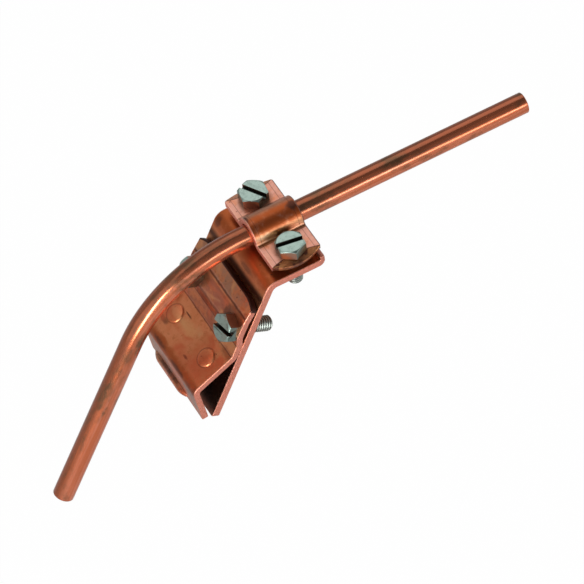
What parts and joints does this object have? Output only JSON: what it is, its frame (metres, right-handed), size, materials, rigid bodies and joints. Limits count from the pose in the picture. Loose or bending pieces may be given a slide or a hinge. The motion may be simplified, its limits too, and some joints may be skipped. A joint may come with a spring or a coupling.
{
  "type": "gutter clamp",
  "caption": "Bent copper clamp for a gutter's rolled bead, with a screwed saddle that holds a round lightning conductor, shown with its conductor in place.",
  "frame": {"origin": "On the conductor's axis, midway between the two saddle screws.", "axes": "+X across the strip towards the near screws, +Y along the conductor towards the lip, +Z out of the platform towards the saddle."},
  "size_m": [0.041, 0.2053, 0.1005],
  "materials": {
    "strip": "cold-rolled copper strip, tarnished, with bright sheared edges",
    "conductor": "drawn copper round conductor, smooth, with brown streaks",
    "screw": "dull grey-green plated steel"
  },
  "bodies": {
    "bracket": {"bracket": "strip", "round_conductor": "conductor"},
    "clamp_jaw": {"clamp_jaw": "strip"},
    "saddle": {"saddle": "strip"},
    "saddle_screw_near": {"saddle_screw_near": "screw"},
    "saddle_screw_far": {"saddle_screw_far": "screw"},
    "jaw_screw_near": {"jaw_screw_near": "screw"},
    "jaw_screw_far": {"jaw_screw_far": "screw"}
  },
  "joints": [
    {"name": "jaw_slide", "type": "slide", "parent": "bracket", "child": "clamp_jaw", "axis": [0, -0.8829, 0.4695], "range_m": [0, 0.009]},
    {"name": "saddle_lift", "type": "slide", "parent": "bracket", "child": "saddle", "axis": [0, 0, 1], "range_m": [0, 0.007]},
    {"name": "jaw_screw_near_turn", "type": "hinge", "parent": "clamp_jaw", "child": "jaw_screw_near", "pos_m": [0.014, -0.02761, -0.02552], "axis": [0, -0.8829, 0.4695], "range_deg": [-0.5, 3240.5]},
    {"name": "saddle_screw_near_turn", "type": "hinge", "parent": "saddle", "child": "saddle_screw_near", "pos_m": [0.014, 0, 0.0003], "axis": [0, 0, 1], "range_deg": [-0.5, 2520.5]},
    {"name": "jaw_screw_far_turn", "type": "hinge", "parent": "clamp_jaw", "child": "jaw_screw_far", "pos_m": [-0.014, -0.02667, -0.02376], "axis": [0, -0.8829, 0.4695], "range_deg": [-0.5, 3240.5]},
    {"name": "saddle_screw_far_turn", "type": "hinge", "parent": "saddle", "child": "saddle_screw_far", "pos_m": [-0.014, 0, 0.0003], "axis": [0, 0, 1], "range_deg": [-0.5, 2520.5]}
  ],
  "couplings": [
    {"joint": "jaw_screw_near_turn", "follows": "jaw_slide", "rad_per_m": 6283.2},
    {"joint": "saddle_screw_near_turn", "follows": "saddle_lift", "rad_per_m": 6283.2},
    {"joint": "jaw_screw_far_turn", "follows": "jaw_slide", "rad_per_m": 6283.2},
    {"joint": "saddle_screw_far_turn", "follows": "saddle_lift", "rad_per_m": 6283.2}
  ]
}
